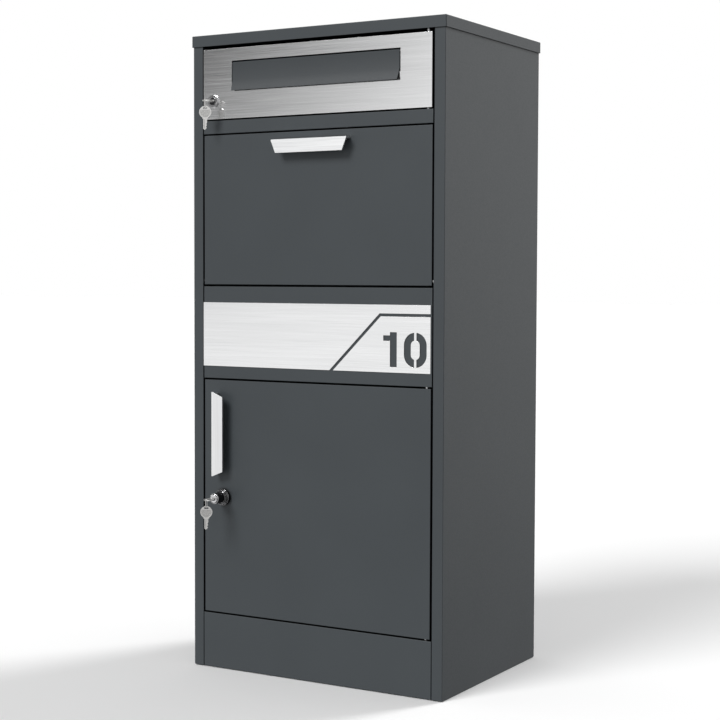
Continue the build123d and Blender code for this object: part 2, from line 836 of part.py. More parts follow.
def lock_cam(x, z, reach, name):
    """The tongue behind the door. It points up here, which is the unlocked position."""
    with BuildPart() as cam:
        with BuildSketch(facing_plane(x, front + lock_reach + cam_thick, z)):
            Circle(cam_width / 2 + 1.5)
            with Locations((0, (reach - cam_width / 2) / 2)):
                Rectangle(cam_width, reach - cam_width / 2)
            with Locations((0, reach - cam_width / 2)):
                Circle(cam_width / 2)
            Rectangle(cam_square, cam_square, mode=Mode.SUBTRACT)
        extrude(amount=cam_thick)
    save(cam, name)


def cam_screw(x, z, name):
    """The screw and washer that hold the cam on the plug's squared end."""
    seat = front + lock_reach + cam_thick
    washer = 1.0
    head = 2.4
    slot = 0.9
    with BuildPart() as screw:
        with BuildSketch(facing_plane(x, seat, z)):
            Circle(5.5)
        extrude(amount=-washer)
        with BuildSketch(facing_plane(x, seat + washer, z)):
            Circle(3.6)
        extrude(amount=-head)
        with BuildSketch(facing_plane(x, seat + washer + head, z)):
            Rectangle(slot, 5.4)
        extrude(amount=slot, mode=Mode.SUBTRACT)
    save(screw, name)


def key_outline():
    """The flat outline of a key: round bow at the origin, blade along -Y, hole near +Y."""
    blade_end = -(key_length - bow_r)
    neck = blade_width / 2 + 1.6
    with BuildSketch() as outline:
        Circle(bow_r)
        with BuildLine():
            Polyline(
                (-neck, 0),
                (-neck, -bow_r - 0.2),
                (-blade_width / 2, -bow_r - 1.4),
                (-blade_width / 2, blade_end + 2.0),
                (-0.8, blade_end),
                (blade_width / 2 - 2.2, blade_end + 1.2),
                (blade_width / 2 - 0.6, blade_end + 3.4),
                (blade_width / 2 - 1.7, blade_end + 5.4),
                (blade_width / 2 - 0.2, blade_end + 7.6),
                (blade_width / 2 - 1.3, blade_end + 9.4),
                (blade_width / 2, blade_end + 11.6),
                (blade_width / 2, -bow_r - 1.4),
                (neck, -bow_r - 0.2),
                (neck, 0),
                close=True,
            )
        make_face()
        with Locations((0, bow_r - web - hole_height / 2)):
            RectangleRounded(hole_width, hole_height, 0.9, mode=Mode.SUBTRACT)
    return outline.sketch


# the link's upper and lower bends, measured down from the working key's mid-plane
link_top = key_half_thick + link_slack - sqrt(link_half_gap**2 - (web / 2) ** 2)
spare_rim = spare_hang + web / 2
spare_half = key_half_thick / cos(radians(spare_turn))
link_bottom = spare_rim + web / 2 + 0.1 - sqrt(link_half_gap**2 - spare_half**2)
link_side = link_half_gap + link_wire_r


def flat_key(plane, name):
    """One key. The plane's +Y points from the blade to the bow's hole."""
    with BuildPart() as key:
        with BuildSketch(plane):
            add(key_outline())
        extrude(amount=key_half_thick, both=True)
        # one milled groove along the blade
        with BuildSketch(plane.offset(key_half_thick)):
            with Locations((-0.9, -bow_r - 9.5)):
                Rectangle(1.0, 17)
        extrude(amount=-0.45, mode=Mode.SUBTRACT)
    save(key, name)


def wire_link(x, y, z, name):
    """A closed wire link that goes round the rim of both bows."""
    with BuildPart() as link:
        with BuildLine(side_plane(x, y, z)) as route:
            Line((link_side, -link_bottom), (link_side, link_top))
            ThreePointArc(
                (link_side, link_top), (0, link_top + link_side), (-link_side, link_top)
            )
            Line((-link_side, link_top), (-link_side, -link_bottom))
            ThreePointArc(
                (-link_side, -link_bottom), (0, -link_bottom - link_side), (link_side, -link_bottom)
            )
        with BuildSketch(up_plane(x, y + link_side, z - link_bottom)):
            Circle(link_wire_r)
        sweep(path=route.wire())
    save(link, name)


def lock_set(prefix, x, z, plug_face_y, cam_reach):
    """Plug, cam, screw, working key, ring and hanging spare key of one lock."""
    lock_plug(x, z, plug_face_y, f"{prefix}_lock_plug")
    lock_cam(x, z, cam_reach, f"{prefix}_lock_cam")
    cam_screw(x, z, f"{prefix}_cam_screw")
    # the working key is pushed in up to its shoulder, with its bow level
    bow_y = plug_face_y - bow_r - key_shoulder
    level = Plane(origin=(x, bow_y, z), x_dir=(-1, 0, 0), z_dir=(0, 0, 1))
    flat_key(level, f"{prefix}_key")
    rim_y = bow_y - bow_r + web / 2
    wire_link(x, rim_y, z, f"{prefix}_key_ring")
    spare_bow_z = z - spare_rim - bow_r + web / 2
    turn_cos = cos(radians(spare_turn))
    turn_sin = sin(radians(spare_turn))
    upright = Plane(
        origin=(x, rim_y, spare_bow_z),
        x_dir=(turn_cos, turn_sin, 0),
        z_dir=(turn_sin, -turn_cos, 0),
    )
    flat_key(upright, f"{prefix}_spare_key")


mail_plug_face = front - mail_plug_reach
lock_housing(
    mail_lock_x,
    mail_lock_z,
    mail_plug_face + 0.4,
    [(front - face_sheet, 10.2, 3.0)],
    "mail_lock_housing",
)
lock_nut(mail_lock_x, mail_lock_z, "mail_lock_nut")
lock_set("mail", mail_lock_x, mail_lock_z, mail_plug_face, 30.0)

removal_plug_face = front - removal_plug_reach
lock_housing(
    removal_lock_x,
    removal_lock_z,
    removal_plug_face + 0.8,
    [(front, 13.0, 6.0), (front - 6.0, 11.0, 4.0)],
    "removal_lock_housing",
)
lock_nut(removal_lock_x, removal_lock_z, "removal_lock_nut")
lock_set("removal", removal_lock_x, removal_lock_z, removal_plug_face, 46.0)
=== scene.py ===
import json
from math import asin, cos, pi, radians, sin

import bmesh
import bpy
from mathutils import Matrix, Vector

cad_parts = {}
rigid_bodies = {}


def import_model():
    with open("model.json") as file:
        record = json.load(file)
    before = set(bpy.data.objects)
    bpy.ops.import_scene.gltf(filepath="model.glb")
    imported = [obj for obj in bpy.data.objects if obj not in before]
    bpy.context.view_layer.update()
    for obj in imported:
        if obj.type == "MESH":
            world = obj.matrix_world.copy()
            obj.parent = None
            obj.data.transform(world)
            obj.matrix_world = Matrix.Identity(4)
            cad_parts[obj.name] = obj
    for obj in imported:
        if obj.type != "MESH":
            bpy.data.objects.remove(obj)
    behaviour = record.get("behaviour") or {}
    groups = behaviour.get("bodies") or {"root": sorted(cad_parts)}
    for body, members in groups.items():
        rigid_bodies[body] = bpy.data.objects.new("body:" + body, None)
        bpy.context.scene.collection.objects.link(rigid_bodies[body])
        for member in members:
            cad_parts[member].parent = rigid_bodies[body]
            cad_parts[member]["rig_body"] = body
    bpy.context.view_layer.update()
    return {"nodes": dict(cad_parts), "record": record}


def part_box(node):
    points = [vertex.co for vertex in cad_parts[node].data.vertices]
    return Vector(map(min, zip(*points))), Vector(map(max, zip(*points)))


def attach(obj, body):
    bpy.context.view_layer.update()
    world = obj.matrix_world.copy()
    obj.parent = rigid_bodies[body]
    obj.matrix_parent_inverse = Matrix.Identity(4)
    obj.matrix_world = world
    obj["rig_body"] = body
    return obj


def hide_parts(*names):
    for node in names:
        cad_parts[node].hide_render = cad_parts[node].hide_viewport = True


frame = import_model()
nodes = frame["nodes"]
scene = bpy.context.scene
mm = 0.001
print("cabinet frame loaded:", len(nodes), "pieces")


# a way out of the doors' plane, its azimuth counted to the right of their normal
def toward(azimuth, elevation):
    turn, rise = radians(azimuth), radians(elevation)
    return Vector((sin(turn) * cos(rise), -cos(turn) * cos(rise), sin(rise)))


# the camera stands to the right of the doors, some 0.64 m above the floor
viewpoint = {
    "aimX": 0.030,  # point on the doors' plane that it looks at
    "aimZ": 0.5141,
    "azimuth": 30.985,
    "elevation": 2.824,
    "roll": 0.131,
    "distance": 2.4779,
    "lens": 81.02,
    "shiftX": 0.0417,
    "shiftY": -0.0099,
    "sensor": 36,
    "farthest": 60,
}


def placeCamera(setup):
    data = bpy.data.cameras.new("boxCamera")
    data.sensor_width = setup["sensor"]
    data.lens = setup["lens"]
    data.shift_x = setup["shiftX"]
    data.shift_y = setup["shiftY"]
    data.clip_end = setup["farthest"]
    camera = bpy.data.objects.new("boxCamera", data)
    scene.collection.objects.link(camera)
    aim = Vector((setup["aimX"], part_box("middle_panel")[0].y, setup["aimZ"]))
    outward = toward(setup["azimuth"], setup["elevation"])
    camera.location = aim + setup["distance"] * outward
    facing = (-outward).to_track_quat("-Z", "Y").to_matrix()
    roll = Matrix.Rotation(radians(setup["roll"]), 3, "Z")
    camera.rotation_euler = (facing @ roll).to_euler()
    scene.camera = camera


placeCamera(viewpoint)


# node helpers for the finishes
def startFinish(name):
    finish = bpy.data.materials.new(name)
    finish.use_nodes = True
    tree = finish.node_tree
    shader = tree.nodes["Principled BSDF"]
    place = tree.nodes.new("ShaderNodeTexCoord").outputs["Object"]
    return finish, tree, shader, place


def stretched(tree, place, scale):
    mapping = tree.nodes.new("ShaderNodeMapping")
    mapping.inputs["Scale"].default_value = scale
    tree.links.new(place, mapping.inputs["Vector"])
    return mapping.outputs["Vector"]


def grain(tree, place, scale, detail=2.0, rough=0.5):
    noise = tree.nodes.new("ShaderNodeTexNoise")
    noise.inputs["Scale"].default_value = scale
    noise.inputs["Detail"].default_value = detail
    noise.inputs["Roughness"].default_value = rough
    tree.links.new(place, noise.inputs["Vector"])
    return noise.outputs["Fac"]


def spread(tree, value, low, high, fromLow=0.0, fromHigh=1.0):
    node = tree.nodes.new("ShaderNodeMapRange")
    node.inputs["From Min"].default_value = fromLow
    node.inputs["From Max"].default_value = fromHigh
    node.inputs["To Min"].default_value = low
    node.inputs["To Max"].default_value = high
    tree.links.new(value, node.inputs["Value"])
    return node.outputs["Result"]


def combine(tree, kind, first, second):
    node = tree.nodes.new("ShaderNodeMath")
    node.operation = kind
    for socket, value in zip(node.inputs, (first, second)):
        if isinstance(value, (int, float)):
            socket.default_value = value
        else:
            tree.links.new(value, socket)
    return node.outputs["Value"]


def blended(tree, first, firstShare, second, secondShare):
    return combine(
        tree, "ADD",
        combine(tree, "MULTIPLY", first, firstShare),
        combine(tree, "MULTIPLY", second, secondShare),
    )


def tint(tree, value, dark, light):
    # each end is a colour or another node's output
    mix = tree.nodes.new("ShaderNodeMix")
    mix.data_type = "RGBA"
    for side, colour in (("A", dark), ("B", light)):
        if isinstance(colour, tuple):
            mix.inputs[side].default_value = (*colour, 1)
        else:
            tree.links.new(colour, mix.inputs[side])
    tree.links.new(value, mix.inputs["Factor"])
    return mix.outputs["Result"]


def relief(tree, shader, height, strength, distance):
    bump = tree.nodes.new("ShaderNodeBump")
    bump.inputs["Strength"].default_value = strength
    bump.inputs["Distance"].default_value = distance
    tree.links.new(height, bump.inputs["Height"])
    tree.links.new(bump.outputs["Normal"], shader.inputs["Normal"])


# noise stays near its middle, so only that part of it is spread out
noiseBand = (0.3, 0.7)


def patchy(tree, shader, patch, dark, light, rough):
    share = spread(tree, patch, 0, 1, *noiseBand)
    tree.links.new(tint(tree, share, dark, light), shader.inputs["Base Color"])
    tree.links.new(spread(tree, patch, *rough, *noiseBand), shader.inputs["Roughness"])


coat = {
    "dark": (0.0360, 0.0435, 0.0490),
    "light": (0.0430, 0.0515, 0.0575),
    "peel": 620,  # orange-peel cells in a metre
    "grit": 2600,  # fine texture of the cured powder
    "peelDepth": 0.00005,
    "peelStrength": 0.35,
    "cloud": 7,  # slow changes of tone in a metre
    "rough": (0.44, 0.56),
    "sheen": 0.45,
    # painted shade: a darker coat for the flap in the slot's shade
    "flapDark": (0.0270, 0.0330, 0.0375),
    "flapShadeLight": (0.0320, 0.0390, 0.0440),
    "gap": (0.003, 0.003, 0.0035),  # painted shade: near black, where two sheets nearly meet
    "shadeReach": 0.010,  # how near the other sheet has to be, in metres
    "shadeFull": 0.42,  # openness at which the coat is wholly the painted shade
    "shadeNone": 0.84,  # and wholly its own
    # painted highlight: the coat on the broken edges is lighter, as where a bend catches the
    # light
    "edgeHighlightDark": (0.052, 0.060, 0.066),
    "edgeHighlightLight": (0.068, 0.077, 0.084),
}


def powderCoat(name, dark, light):
    finish, tree, shader, place = startFinish(name)
    cloud = grain(tree, place, coat["cloud"], 3)
    speck = grain(tree, place, coat["grit"], 1)
    shade = blended(tree, cloud, 0.6, speck, 0.4)
    paint = tint(tree, spread(tree, shade, 0, 1, *noiseBand), dark, light)
    # painted shade: the coat darkens towards near black wherever another sheet is close, as in
    # gaps and corners
    shadeProbe = tree.nodes.new("ShaderNodeAmbientOcclusion")
    shadeProbe.samples = 8
    shadeProbe.inputs["Distance"].default_value = coat["shadeReach"]
    unshaded = spread(tree, shadeProbe.outputs["AO"], 0, 1, coat["shadeFull"], coat["shadeNone"])
    tree.links.new(tint(tree, unshaded, coat["gap"], paint), shader.inputs["Base Color"])
    peel = grain(tree, place, coat["peel"], 2, 0.6)
    rough = spread(tree, peel, *coat["rough"], *noiseBand)
    tree.links.new(rough, shader.inputs["Roughness"])
    surface = blended(tree, peel, 1, speck, 0.35)
    relief(tree, shader, surface, coat["peelStrength"], coat["peelDepth"])
    shader.inputs["Specular IOR Level"].default_value = coat["sheen"]
    return finish


steel = {
    "dark": (0.78, 0.785, 0.79),
    "light": (0.93, 0.935, 0.94),
    "streak": 900,  # brush lines in a metre, across the grain
    "longStreak": 9,  # and along it
    "bandAcross": 0.16,  # the wider bands, as shares of the lines' counts
    "bandAlong": 0.4,
    "toneBand": (0.32, 0.68),
    "facing": {"rough": (0.12, 0.20), "depth": 0.000008, "tone": 1.05},
    "pull": {"rough": (0.38, 0.48), "depth": 0.000020, "tone": 1.04},
    "edge": {"rough": (0.24, 0.34), "depth": 0.000010, "tone": 1.04},
}


def brushedSteel(name, upright, look):
    finish, tree, shader, place = startFinish(name)
    long, fine = steel["longStreak"], steel["streak"]
    bandLong, bandFine = long * steel["bandAlong"], fine * steel["bandAcross"]
    scale = (fine, fine, long) if upright else (long, fine, fine)
    wide = (bandFine, bandFine, bandLong) if upright else (bandLong, bandFine, bandFine)
    lines = grain(tree, stretched(tree, place, scale), 1, 3, 0.65)
    bands = grain(tree, stretched(tree, place, wide), 1, 2, 0.5)
    brush = blended(tree, lines, 0.65, bands, 0.35)
    dark, light = (tuple(c * look["tone"] for c in steel[end]) for end in ("dark", "light"))
    paint = tint(tree, spread(tree, brush, 0, 1, *steel["toneBand"]), dark, light)
    tree.links.new(paint, shader.inputs["Base Color"])
    rough = spread(tree, lines, *look["rough"], *noiseBand)
    tree.links.new(rough, shader.inputs["Roughness"])
    relief(tree, shader, brush, 0.5, look["depth"])
    shader.inputs["Metallic"].default_value = 1.0
    return finish


def platedMetal(name, dark, light, rough, cells, depth=0.00001, metallic=1.0):
    finish, tree, shader, place = startFinish(name)
    patch = grain(tree, place, cells, 4, 0.6)
    patchy(tree, shader, patch, dark, light, rough)
    relief(tree, shader, grain(tree, place, cells * 4, 2), 0.25, depth)
    shader.inputs["Metallic"].default_value = metallic
    return finish


# painted reflection: near-black lock metal standing in for the dark surroundings that the
# chrome lock mirrors
barrel = {
    "dark": (0.030, 0.030, 0.032),
    "light": (0.060, 0.060, 0.064),
    "rough": (0.28, 0.42),
    "cells": 300,
    "ridges": 100,  # the wave's scale, a ridge every 3.1 mm of depth
    "ridgeStrength": 0.8,
    "ridgeDepth": 0.0002,
}


def darkReflectionMetal(name, look):
    # lock metal blackened as a painted dark reflection, standing in for the dark surroundings
    # its chrome mirrors; ridged along the lock's axis
    finish, tree, shader, place = startFinish(name)
    wave = tree.nodes.new("ShaderNodeTexWave")
    wave.bands_direction = "Y"
    wave.inputs["Scale"].default_value = look["ridges"]
    wave.inputs["Distortion"].default_value = 0.0
    tree.links.new(place, wave.inputs["Vector"])
    patch = grain(tree, place, look["cells"], 3)
    patchy(tree, shader, patch, look["dark"], look["light"], look["rough"])
    relief(tree, shader, wave.outputs["Fac"], look["ridgeStrength"], look["ridgeDepth"])
    shader.inputs["Metallic"].default_value = 1.0
    return finish


finishes = {
    "powder_coat": powderCoat("anthracitePowder", coat["dark"], coat["light"]),
    "brushed_stainless": brushedSteel("brushedLevel", False, steel["facing"]),
    "zinc_steel": platedMetal(
        "zincPlate", (0.50, 0.51, 0.52), (0.64, 0.65, 0.66), (0.26, 0.4), 260
    ),
    "chrome_lock": platedMetal(
        "lockChrome", (0.62, 0.62, 0.63), (0.72, 0.72, 0.73), (0.08, 0.16), 320
    ),
    "nickel_key": platedMetal(
        "keyNickel", (0.74, 0.735, 0.72), (0.86, 0.855, 0.84), (0.26, 0.38), 420
    ),
    "nylon_bush": platedMetal(
        "bushNylon", (0.016, 0.016, 0.017), (0.026, 0.026, 0.027), (0.42, 0.55), 180,
        metallic=0.0,
    ),
}
# the powder coat's edges get the lighter coat, a painted highlight
edgeFinishes = {
    "powder_coat": powderCoat("anthraciteEdgeHighlight", coat["edgeHighlightDark"], coat["edgeHighlightLight"]),
    "brushed_stainless": brushedSteel("brushedEdge", False, steel["edge"]),
}
pullSteel = {
    False: brushedSteel("brushedPullLevel", False, steel["pull"]),
    True: brushedSteel("brushedPullUpright", True, steel["pull"]),
}
# painted shade: the flap's coat is darker than the cabinet's, standing in for the shade the
# flap sits in within the slot
flapShadeCoat = powderCoat("anthraciteFlapShade", coat["flapDark"], coat["flapShadeLight"])
keySatin = platedMetal(
    "keySatin", (0.36, 0.358, 0.35), (0.80, 0.795, 0.78), (0.30, 0.46), 900, 0.00004
)
barrelDarkReflection = darkReflectionMetal("barrelPaintedReflection", barrel)
print("finishes ready")


# every sheet and turned piece is merged, its edges broken, and given its finish
slotOf = {entry["node"]: entry["material_slot"] for entry in frame["record"]["subparts"]}

sheetWork = {
    "weld": 0.002 * mm,  # corners nearer than this are one
    "flat": 0.4,  # degrees between faces that count as one
    "corner": 34,  # degrees past which an edge is broken
    "smooth": 38,  # and past which a repeated part's edge stays sharp
}

# how far each piece's edges are broken, in mm
edges = {
    "cabinet_shell": 0.30,
    "lid": 0.50,
    "plinth_panel": 0.30,
    "middle_panel": 0.30,
    "crossbar": 0.30,
    "header_rail": 0.30,
    "base_plate": 0.30,
    "mail_shelf": 0.30,
    "mail_door_pan": 0.30,
    "parcel_door_pan": 0.30,
    "removal_door_pan": 0.30,
    "mail_flap": 0.42,
    "mail_door_facing": 0.14,
    "street_plate": 0.14,
    "number_plate": 0.14,
    "tray_cheek_left": 0.28,
    "tray_cheek_right": 0.28,
    "parcel_tray": 0.30,
    "flap_ears": 0.20,
    "flap_pin": 0.15,
    "mail_door_pins": 0.30,
    "parcel_door_pins": 0.30,
    "removal_door_pins": 0.30,
    "mail_door_bushes": 0.15,
    "parcel_door_bushes": 0.12,
    "removal_door_bushes": 0.15,
    "mail_lock_housing": 0.25,
    "removal_lock_housing": 0.25,
    "mail_lock_nut": 0.60,
    "removal_lock_nut": 0.60,
    "mail_lock_plug": 0.15,
    "removal_lock_plug": 0.15,
    "mail_lock_cam": 0.35,
    "removal_lock_cam": 0.35,
    "mail_cam_screw": 0.22,
    "removal_cam_screw": 0.22,
    "mail_key_ring": 0.0,
    "removal_key_ring": 0.0,
}


def pieceName(nodeName):
    words = nodeName.split("_")
    return words[0] + "".join(w.capitalize() for w in words[1:])


def welded(nodeName):
    work = bmesh.new()
    work.from_mesh(nodes[nodeName].data)
    bmesh.ops.remove_doubles(work, verts=work.verts, dist=sheetWork["weld"])
    return work


def mergedMesh(nodeName):
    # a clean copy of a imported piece, its flat faces whole again
    mesh = nodes[nodeName].data.copy()
    mesh.materials.clear()
    work = welded(nodeName)
    limit = radians(sheetWork["flat"])
    bmesh.ops.dissolve_limit(work, angle_limit=limit, verts=work.verts, edges=work.edges)
    work.to_mesh(mesh)
    work.free()
    return mesh


def finishPiece(name, mesh, nodeNames, width=0.0, finish=None, edgeFinish=None, parts=2):
    piece = bpy.data.objects.new(name, mesh)
    scene.collection.objects.link(piece)
    slot = slotOf[nodeNames[0]]
    mesh.materials.append(finish or finishes[slot])
    for polygon in mesh.polygons:
        polygon.use_smooth = True
    if width > 0:
        bevel = piece.modifiers.new("edgeBreak", "BEVEL")
        bevel.width = width * mm
        bevel.segments = parts
        bevel.limit_method = "ANGLE"
        bevel.angle_limit = radians(sheetWork["corner"])
        edgeFinish = edgeFinish or (None if finish else edgeFinishes.get(slot))
        if edgeFinish:
            mesh.materials.append(edgeFinish)
            bevel.material = len(mesh.materials) - 1
        level = piece.modifiers.new("evenShade", "WEIGHTED_NORMAL")
        level.mode = "FACE_AREA"
        level.keep_sharp = False
    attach(piece, nodes[nodeNames[0]]["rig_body"])
    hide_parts(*nodeNames)


# coat and edge finish where they aren't those of the piece's slot; the flap's darker coat is
# painted shade and the locks' blackened metal a painted dark reflection
specialCoats = {
    "mail_flap": (flapShadeCoat, edgeFinishes["powder_coat"]),
    "mail_lock_plug": (barrelDarkReflection, finishes["chrome_lock"]),
    "removal_lock_housing": (barrelDarkReflection, finishes["chrome_lock"]),
}
rimLean = (0.12, 0.97)  # share of its normal along Y, for a face of the collar's sloping ring


def brightRim(mesh):
    # the ring keeps its chrome, which the edges already use, and the rest is blackened as a
    # painted dark reflection
    for polygon in mesh.polygons:
        if rimLean[0] < abs(polygon.normal.y) < rimLean[1]:
            polygon.material_index = 1


for nodeName, width in edges.items():
    mesh = mergedMesh(nodeName)
    finishPiece(pieceName(nodeName), mesh, [nodeName], width, *specialCoats.get(nodeName, ()))
    if nodeName == "removal_lock_housing":
        brightRim(mesh)
print("sheet metal, pins and locks finished")


# pulls folded from stainless strip, brushed along their own length
pull = {
    "edgeBreak": 0.35,  # mm
    "upright": {"parcel_handle": False, "removal_handle": True},
}

for nodeName, upright in pull["upright"].items():
    mesh = mergedMesh(nodeName)
    finishPiece(pieceName(nodeName), mesh, [nodeName], pull["edgeBreak"], pullSteel[upright])
print("pulls folded")


# keys with a raised rim on the bow, in mm, the bow round the origin and the blade along -Y
keyShape = {
    "bow": 9.5,
    "rim": 1.3,
    "thick": 0.9,
    "recess": 0.28,
    "recessTop": 3.6,
    "neck": 4.6,
    "blade": 3.0,
    "holeWide": 7.0,
    "holeTall": 2.6,
    "holeUp": 6.3,
    "neckEnd": -9.7,
    "shoulder": -10.9,
    "bladeEnd": -26.0,
    "tip": [(-0.8, -28.0), (0.8, -26.8)],
    "cuts": [(2.4, -24.6), (1.3, -22.6), (2.8, -20.4), (1.7, -18.6)],
    "lastCut": -16.4,
    "groove": (-1.4, -0.4),  # its two sides
    "grooveTop": -11.2,
    "grooveDepth": 0.4,
    "edgeBreak": 0.16,
    "through": 2,  # a cutter reaches this far each way
    "turn": 30,  # the hanging key looks this far round from the doors' front
    "steps": 44,
    "recessSteps": 30,
    "holeSteps": 8,
}


def slabMesh(outline, low, high):
    work = bmesh.new()
    under = [work.verts.new((x * mm, y * mm, low * mm)) for x, y in outline]
    over = [work.verts.new((x * mm, y * mm, high * mm)) for x, y in outline]
    work.faces.new(list(reversed(under)))
    work.faces.new(over)
    count = len(outline)
    for i in range(count):
        j = (i + 1) % count
        work.faces.new((under[i], under[j], over[j], over[i]))
    bmesh.ops.recalc_face_normals(work, faces=work.faces)
    mesh = bpy.data.meshes.new("slab")
    work.to_mesh(mesh)
    work.free()
    return mesh


def arcPoints(radius, start, end, steps, centreX=0.0, centreY=0.0):
    points = []
    for i in range(steps + 1):
        angle = start + (end - start) * i / steps
        points.append((centreX + radius * cos(angle), centreY + radius * sin(angle)))
    return points


def keyOutline(shape):
    side = asin(shape["neck"] / shape["bow"])
    bow = arcPoints(shape["bow"], -pi / 2 + side, 3 * pi / 2 - side, shape["steps"])
    blade, neck = shape["blade"], shape["neck"]
    left = [(-neck, shape["neckEnd"]), (-blade, shape["shoulder"]), (-blade, shape["bladeEnd"])]
    right = [(blade, shape["lastCut"]), (blade, shape["shoulder"]), (neck, shape["neckEnd"])]
    return bow + left + shape["tip"] + shape["cuts"] + right


def recessOutline(shape):
    radius = shape["bow"] - shape["rim"]
    top = asin(shape["recessTop"] / radius)
    return arcPoints(radius, pi - top, 2 * pi + top, shape["recessSteps"])


def slotOutline(shape):
    radius = shape["holeTall"] / 2
    reach = shape["holeWide"] / 2 - radius
    steps = shape["holeSteps"]
    right = arcPoints(radius, -pi / 2, pi / 2, steps, reach, shape["holeUp"])
    left = arcPoints(radius, pi / 2, 3 * pi / 2, steps, -reach, shape["holeUp"])
    return right + left


def carve(mesh, cutters):
    block = bpy.data.objects.new("keyBlank", mesh)
    scene.collection.objects.link(block)
    tools = []
    for cutter in cutters:
        tool = bpy.data.objects.new("keyCutter", cutter)
        scene.collection.objects.link(tool)
        tools.append(tool)
        cut = block.modifiers.new("cut", "BOOLEAN")
        cut.operation = "DIFFERENCE"
        cut.solver = "EXACT"
        cut.object = tool
    bpy.context.view_layer.update()
    ready = block.evaluated_get(bpy.context.evaluated_depsgraph_get())
    carved = bpy.data.meshes.new_from_object(ready)
    for old in [block, *tools]:
        bpy.data.objects.remove(old)
    return carved


def keyMesh(shape):
    thick, through = shape["thick"], shape["through"]
    near, far = shape["groove"]
    low, high = shape["bladeEnd"], shape["grooveTop"]
    groove = [(near, low), (far, low), (far, high), (near, high)]
    backGroove = [(-x, y) for x, y in groove]
    cutters = [slabMesh(slotOutline(shape), -through, through)]
    bowFloor, grooveFloor = thick - shape["recess"], thick - shape["grooveDepth"]
    for outline, start, end in (
        (recessOutline(shape), bowFloor, through),
        (recessOutline(shape), -through, -bowFloor),
        (groove, grooveFloor, through),
        (backGroove, -through, -grooveFloor),
    ):
        cutters.append(slabMesh(outline, start, end))
    return carve(slabMesh(keyOutline(shape), -thick, thick), cutters)


def placeKey(nodeName, hanging):
    low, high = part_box(nodeName)
    middle = (low + high) / 2
    bow = keyShape["bow"] * mm
    if hanging:
        along, across = cos(radians(keyShape["turn"])), sin(radians(keyShape["turn"]))
        columns = (Vector((along, across, 0)), Vector((0, 0, 1)), Vector((across, -along, 0)))
        origin = Vector((middle.x, middle.y, high.z - bow))
    else:
        columns = (Vector((-1, 0, 0)), Vector((0, -1, 0)), Vector((0, 0, 1)))
        origin = Vector((middle.x, low.y + bow, middle.z))
    mesh = keyMesh(keyShape)
    placed = Matrix(columns).transposed().to_4x4()
    placed.translation = origin
    mesh.transform(placed)
    finishPiece(pieceName(nodeName), mesh, [nodeName], keyShape["edgeBreak"])
    # the pressed floor of the bow is duller than its rim
    mesh.materials.append(keySatin)
    facing = columns[2]
    rimStart = (keyShape["thick"] - 0.1) * mm
    for polygon in mesh.polygons:
        depth = abs((polygon.center - origin).dot(facing))
        if abs(polygon.normal.dot(facing)) > 0.9 and depth < rimStart:
            polygon.material_index = 1


for lockName in ("mail", "removal"):
    placeKey(lockName + "_key", False)
    placeKey(lockName + "_spare_key", True)
print("keys cut")


# rivets and screws, repeated by Geometry Nodes
def islands(nodeName):
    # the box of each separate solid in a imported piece
    work = welded(nodeName)
    left = set(work.verts)
    boxes = []
    while left:
        queue = [left.pop()]
        found = list(queue)
        while queue:
            vert = queue.pop()
            for edge in vert.link_edges:
                other = edge.other_vert(vert)
                if other in left:
                    left.remove(other)
                    queue.append(other)
                    found.append(other)
        low = Vector([min(v.co[i] for v in found) for i in range(3)])
        high = Vector([max(v.co[i] for v in found) for i in range(3)])
        boxes.append((low, high))
    work.free()
    return boxes


def newTree(name, inputs):
    tree = bpy.data.node_groups.new(name, "GeometryNodeTree")
    tree.interface.new_socket("Geometry", in_out="INPUT", socket_type="NodeSocketGeometry")
    for label, value in inputs.items():
        socket = tree.interface.new_socket(label, in_out="INPUT", socket_type="NodeSocketFloat")
        socket.default_value = value
    tree.interface.new_socket("Geometry", in_out="OUTPUT", socket_type="NodeSocketGeometry")
    return tree, tree.nodes.new("NodeGroupInput"), tree.nodes.new("NodeGroupOutput")


def join(tree, pieces):
    node = tree.nodes.new("GeometryNodeJoinGeometry")
    for piece in pieces:
        tree.links.new(piece, node.inputs["Geometry"])
    return node.outputs["Geometry"]


def raised(tree, piece, height, share, scale=(1, 1, 1)):
    # the piece, lifted along Z by a share of one of the tree's sizes
    node = tree.nodes.new("GeometryNodeTransform")
    node.inputs["Scale"].default_value = scale
    offset = tree.nodes.new("ShaderNodeCombineXYZ")
    tree.links.new(combine(tree, "MULTIPLY", height, share), offset.inputs["Z"])
    tree.links.new(offset.outputs["Vector"], node.inputs["Translation"])
    tree.links.new(piece, node.inputs["Geometry"])
    return node.outputs["Geometry"]


def drum(tree, radius, depth, sides=24):
    # a round bar centred on the origin, along Z
    node = tree.nodes.new("GeometryNodeMeshCylinder")
    node.inputs["Vertices"].default_value = sides
    tree.links.new(radius, node.inputs["Radius"])
    tree.links.new(depth, node.inputs["Depth"])
    return node.outputs["Mesh"]


